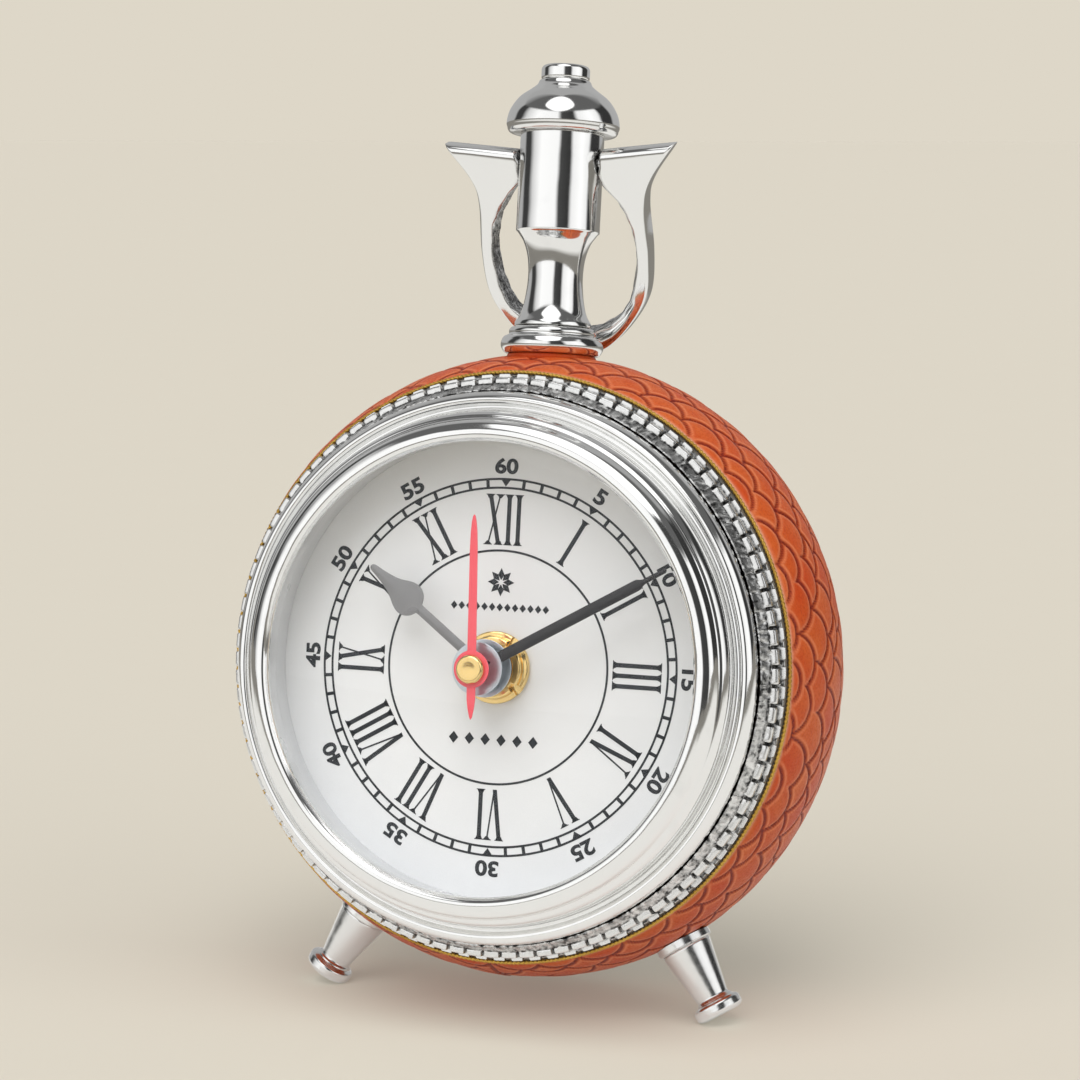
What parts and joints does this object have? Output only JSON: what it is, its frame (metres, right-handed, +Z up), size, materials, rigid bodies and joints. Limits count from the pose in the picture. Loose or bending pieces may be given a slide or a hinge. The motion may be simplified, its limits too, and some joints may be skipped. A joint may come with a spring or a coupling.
{
  "type": "table clock",
  "caption": "Round quartz table clock with a leather-wrapped drum, polished bezel, turned stem with a swinging bow, and short turned feet.",
  "frame": {"origin": "centre of the bounding box on the table's surface, under the clock", "axes": "+Z up, the dial faces -Y and leans back, +X to the right as seen from the front"},
  "size_m": [0.118, 0.0694, 0.1766],
  "materials": {
    "cast_aluminium": "sand-cast, left rough inside",
    "scaled_leather": "embossed with overlapping scales, aniline tan",
    "gilt_cord": "twisted gilt cord",
    "aged_nickel": "nickel plate over a rough casting, darkened in its hollows",
    "polished_nickel": "polished nickel plate with fine swirl scratches",
    "satin_nickel": "satin nickel plate",
    "clear_glass": "clear, gently domed",
    "black_rubber": "matt",
    "satin_grey": "satin silver-grey",
    "white_dial": "satin silvery white with dark grey print",
    "fibreboard": "raw fibreboard",
    "black_paint": "textured black paint",
    "black_plastic": "fine moulded grain",
    "white_plastic": "natural moulded plastic",
    "steel": "bright",
    "brass": "turned and lacquered",
    "copper_wire": "enamelled winding",
    "green_board": "circuit board with resin",
    "cell_sleeve": "plain sleeve with a bare end",
    "grey_paint": "satin grey lacquer",
    "dark_paint": "near-black lacquer",
    "red_paint": "red lacquer"
  },
  "bodies": {
    "case": {"case_drum": "cast_aluminium", "leather_band": "scaled_leather", "front_piping": "gilt_cord", "rear_piping": "gilt_cord", "toothed_ring": "aged_nickel", "bezel": "polished_nickel", "rear_ring": "aged_nickel", "glass": "clear_glass", "glass_gasket": "black_rubber", "reflector_ring": "satin_grey", "dial": "white_dial", "mounting_plate": "fibreboard", "back_plate": "black_paint", "back_screws": "steel", "movement_case": "black_plastic", "movement_cover": "black_plastic", "train_bridge": "white_plastic", "centre_bush": "brass", "rubber_washer": "black_rubber", "dial_washer": "brass", "dial_nut": "brass", "stator": "steel", "coil": "copper_wire", "circuit_board": "green_board", "quartz_crystal": "steel", "battery": "cell_sleeve", "battery_contacts": "steel", "stem_washer": "scaled_leather", "stem_collar": "polished_nickel", "stem_post": "polished_nickel", "stem_cap": "polished_nickel", "stem_button": "polished_nickel", "stem_stud": "steel", "stem_nut": "steel", "bow_pins": "steel", "foot_left": "satin_nickel", "foot_right": "satin_nickel", "rear_leg": "satin_nickel", "foot_collars": "satin_nickel", "foot_studs": "steel", "foot_nuts": "steel"},
    "rotor": {"rotor": "white_plastic"},
    "fifth": {"fifth_wheel": "white_plastic"},
    "third": {"third_wheel": "white_plastic"},
    "seconds": {"seconds_wheel": "white_plastic", "second_hand": "red_paint", "second_cap": "brass"},
    "minute": {"centre_wheel": "white_plastic", "cannon_pinion": "white_plastic", "minute_hand": "dark_paint"},
    "motion": {"motion_wheel": "white_plastic"},
    "hour": {"hour_wheel": "white_plastic", "hour_hand": "grey_paint"},
    "knob": {"setting_knob": "black_plastic"},
    "bow": {"bow": "polished_nickel"},
    "lid": {"back_lid": "black_plastic"}
  },
  "joints": [
    {"name": "second_hand_turn", "type": "hinge", "parent": "case", "child": "seconds", "pos_m": [0, -0.01654, 0.06644], "axis": [0, 0.9895, -0.1444], "continuous": true},
    {"name": "minute_hand_turn", "type": "hinge", "parent": "case", "child": "minute", "pos_m": [0, -0.01654, 0.06644], "axis": [0, 0.9895, -0.1444], "continuous": true},
    {"name": "hour_hand_turn", "type": "hinge", "parent": "case", "child": "hour", "pos_m": [0, -0.01654, 0.06644], "axis": [0, 0.9895, -0.1444], "continuous": true},
    {"name": "motion_wheel_turn", "type": "hinge", "parent": "case", "child": "motion", "pos_m": [-0.00677, -0.00977, 0.06296], "axis": [0, 0.9895, -0.1444], "continuous": true},
    {"name": "setting_knob_turn", "type": "hinge", "parent": "case", "child": "knob", "pos_m": [-0.01397, 0.00487, 0.06082], "axis": [0, 0.9895, -0.1444], "continuous": true},
    {"name": "third_wheel_turn", "type": "hinge", "parent": "case", "child": "third", "pos_m": [0.00441, -0.00614, 0.07264], "axis": [0, 0.9895, -0.1444], "continuous": true},
    {"name": "fifth_wheel_turn", "type": "hinge", "parent": "case", "child": "fifth", "pos_m": [-0.00748, -0.00424, 0.06901], "axis": [0, 0.9895, -0.1444], "continuous": true},
    {"name": "rotor_turn", "type": "hinge", "parent": "case", "child": "rotor", "pos_m": [-0.01293, -0.00346, 0.0744], "axis": [0, 0.9895, -0.1444], "continuous": true},
    {"name": "bow_swing", "type": "hinge", "parent": "case", "child": "bow", "pos_m": [0, 0.01749, 0.15768], "axis": [1, 0, 0], "range_deg": [0, 90]},
    {"name": "lid_pull", "type": "slide", "parent": "case", "child": "lid", "axis": [0, 0.9895, -0.1444], "range_m": [0, 0.03]}
  ],
  "couplings": [
    {"joint": "minute_hand_turn", "follows": "second_hand_turn", "ratio": 0.016667},
    {"joint": "hour_hand_turn", "follows": "second_hand_turn", "ratio": 0.0013889},
    {"joint": "motion_wheel_turn", "follows": "second_hand_turn", "ratio": -0.0055556},
    {"joint": "setting_knob_turn", "follows": "second_hand_turn", "ratio": 0.016667},
    {"joint": "third_wheel_turn", "follows": "second_hand_turn", "ratio": -0.13333},
    {"joint": "fifth_wheel_turn", "follows": "second_hand_turn", "ratio": -5},
    {"joint": "rotor_turn", "follows": "second_hand_turn", "ratio": 30}
  ]
}
